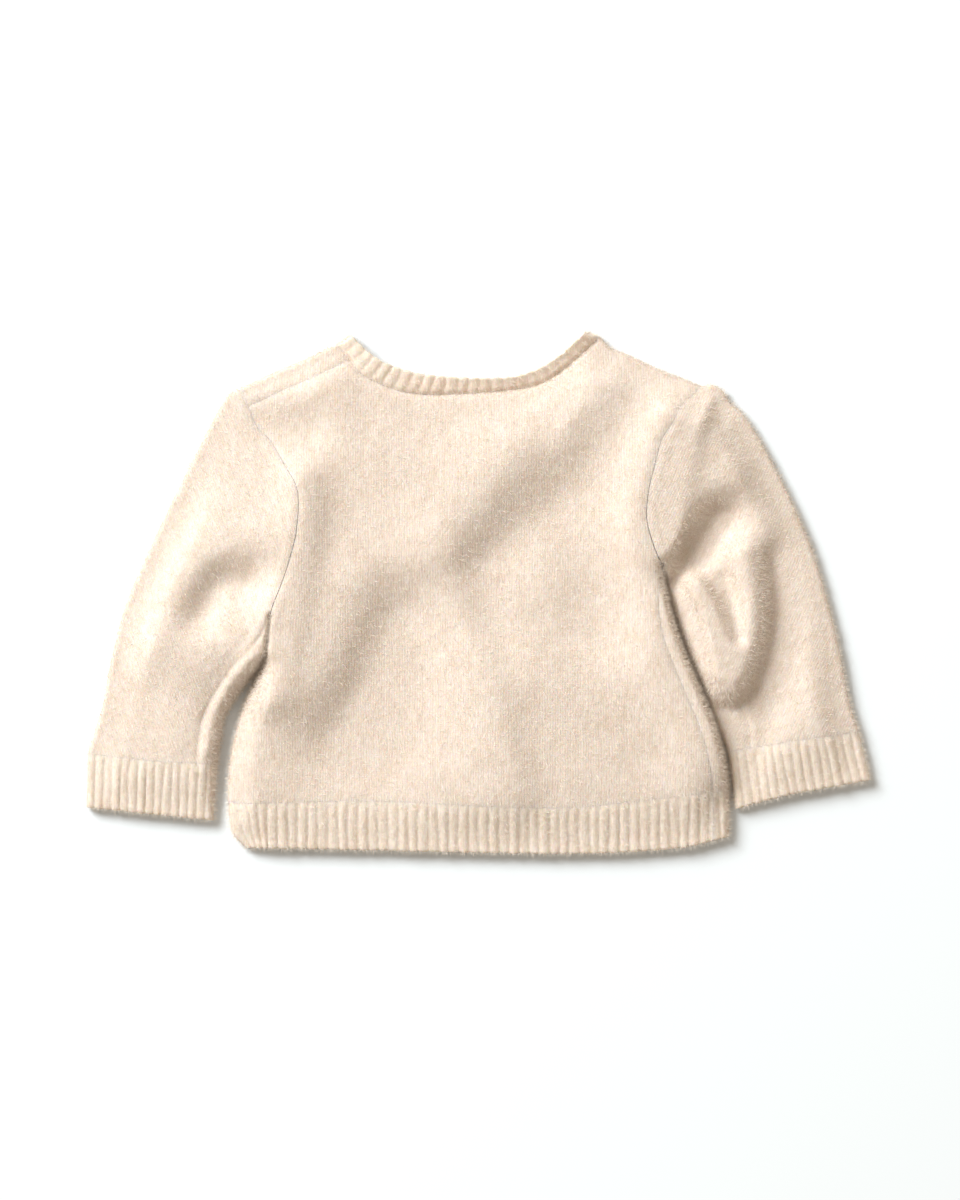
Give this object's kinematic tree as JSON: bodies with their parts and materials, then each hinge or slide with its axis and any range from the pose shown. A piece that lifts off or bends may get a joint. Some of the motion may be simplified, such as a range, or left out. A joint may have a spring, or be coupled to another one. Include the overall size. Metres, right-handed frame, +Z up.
{
  "type": "baby sweater",
  "caption": "Long-sleeved baby sweater in fine felted cream knit, laid flat with its back up, with ribbed neckband, cuffs and hem",
  "frame": {"origin": "centre of the garment's footprint, on the surface it lies on", "axes": "+X across the body towards the wearer's right sleeve, +Y from the hem to the neck, +Z up out of the surface, which the back faces"},
  "size_m": [0.416, 0.277, 0.0086],
  "materials": {
    "felted_knit": "fine jersey knit of mottled cream and oat wool, lightly felted, matt with a soft short nap",
    "rib_knit": "one by one rib in the same wool, matt with a soft short nap"
  },
  "bodies": {
    "root": {"back_panel": "felted_knit", "front_panel": "felted_knit", "sleeve_left": "felted_knit", "sleeve_right": "felted_knit", "cuff_left": "rib_knit", "cuff_right": "rib_knit", "hem_rib_back": "rib_knit", "hem_rib_front": "rib_knit", "neckband": "rib_knit"}
  },
  "joints": []
}
